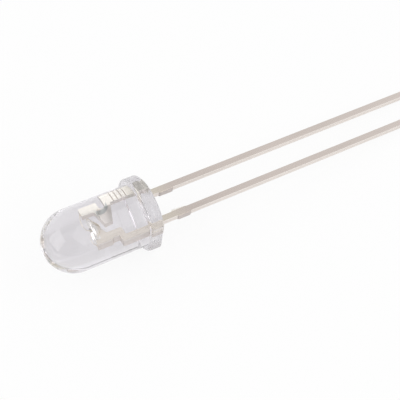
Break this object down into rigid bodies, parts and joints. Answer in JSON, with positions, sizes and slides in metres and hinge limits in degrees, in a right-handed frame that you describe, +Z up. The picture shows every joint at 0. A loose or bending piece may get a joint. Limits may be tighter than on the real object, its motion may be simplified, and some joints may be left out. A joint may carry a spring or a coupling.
{
  "type": "through hole led",
  "caption": "Clear round LED with a domed lens, a flanged base that is flat at the cathode, and straight leads for soldering through a board.",
  "frame": {"origin": "centre of the seating face, where the axis of the lens meets the underside of the flange", "axes": "+X runs along the leads towards their tips, as seen from above, +Y towards the anode lead, +Z up from the surface that the part lies on"},
  "size_m": [0.0357, 0.0056, 0.006],
  "materials": {
    "clear_epoxy": "gloss",
    "tinned_lead": "satin",
    "chip": "gloss",
    "adhesive": "gloss",
    "gold_wire": "polished"
  },
  "bodies": {
    "root": {"lens": "clear_epoxy", "cathode_frame": "tinned_lead", "anode_frame": "tinned_lead", "led_chip": "chip", "die_attach": "adhesive", "anode_wire": "gold_wire", "cathode_wire": "gold_wire"}
  },
  "joints": []
}
